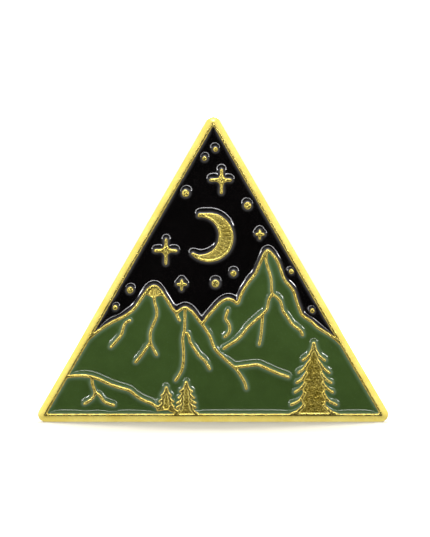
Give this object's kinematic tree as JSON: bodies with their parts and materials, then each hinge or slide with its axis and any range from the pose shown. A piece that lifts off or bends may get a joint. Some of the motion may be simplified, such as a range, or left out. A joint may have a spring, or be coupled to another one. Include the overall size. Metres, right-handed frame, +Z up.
{
  "type": "enamel pin",
  "caption": "Triangular enamel pin: gold raised rim and lines, night sky over green mountains, held by two posts with butterfly clutches.",
  "frame": {"origin": "on the plate's flat back, midway between the two posts", "axes": "+Z up as worn, face looks along -Y, posts point along +Y, +X to the viewer's right"},
  "size_m": [0.038, 0.0096, 0.0331],
  "materials": {
    "gold_plate": "bright gold plating on struck brass, sand-blast stippled grounds",
    "black_enamel": "glossy soft enamel, black",
    "green_enamel": "glossy soft enamel, dark green",
    "brass_post": "gold-plated drawn brass wire",
    "solder": "tin solder fillet, half plated over",
    "clutch_brass": "stamped brass sheet, bright",
    "spring_brass": "hard spring brass sheet"
  },
  "bodies": {
    "badge": {"badge_plate": "gold_plate", "sky_enamel": "black_enamel", "mountain_enamel": "green_enamel", "hill_enamel": "green_enamel", "left_post": "brass_post", "right_post": "brass_post", "left_solder": "solder", "right_solder": "solder"},
    "left_disc": {"left_disc": "clutch_brass"},
    "left_drum": {"left_eyelet": "clutch_brass", "left_housing": "clutch_brass"},
    "left_wing_a": {"left_wing_a": "spring_brass"},
    "left_wing_b": {"left_wing_b": "spring_brass"},
    "right_disc": {"right_disc": "clutch_brass"},
    "right_drum": {"right_eyelet": "clutch_brass", "right_housing": "clutch_brass"},
    "right_wing_a": {"right_wing_a": "spring_brass"},
    "right_wing_b": {"right_wing_b": "spring_brass"}
  },
  "joints": [
    {"name": "left_slide", "type": "slide", "parent": "badge", "child": "left_disc", "axis": [0, 1, 0], "range_m": [-0.00025, 0.0066]},
    {"name": "left_swivel", "type": "hinge", "parent": "left_disc", "child": "left_drum", "pos_m": [-0.007, 0.0022, 0], "axis": [0, 1, 0], "continuous": true},
    {"name": "left_pinch_a", "type": "hinge", "parent": "left_drum", "child": "left_wing_a", "pos_m": [-0.007, 0.0048, 0.0023], "axis": [-1, 0, 0], "range_deg": [0, 10], "stiffness_Nm_per_rad": 0.001},
    {"name": "left_pinch_b", "type": "hinge", "parent": "left_drum", "child": "left_wing_b", "pos_m": [-0.007, 0.0048, -0.0023], "axis": [1, 0, 0], "range_deg": [0, 10], "stiffness_Nm_per_rad": 0.001},
    {"name": "right_slide", "type": "slide", "parent": "badge", "child": "right_disc", "axis": [0, 1, 0], "range_m": [-0.00025, 0.0066]},
    {"name": "right_swivel", "type": "hinge", "parent": "right_disc", "child": "right_drum", "pos_m": [0.007, 0.0022, 0], "axis": [0, 1, 0], "continuous": true},
    {"name": "right_pinch_a", "type": "hinge", "parent": "right_drum", "child": "right_wing_a", "pos_m": [0.007, 0.0048, 0.0023], "axis": [-1, 0, 0], "range_deg": [0, 10], "stiffness_Nm_per_rad": 0.001},
    {"name": "right_pinch_b", "type": "hinge", "parent": "right_drum", "child": "right_wing_b", "pos_m": [0.007, 0.0048, -0.0023], "axis": [1, 0, 0], "range_deg": [0, 10], "stiffness_Nm_per_rad": 0.001}
  ],
  "couplings": [
    {"joint": "left_pinch_b", "follows": "left_pinch_a", "ratio": 1},
    {"joint": "right_pinch_b", "follows": "right_pinch_a", "ratio": 1}
  ]
}
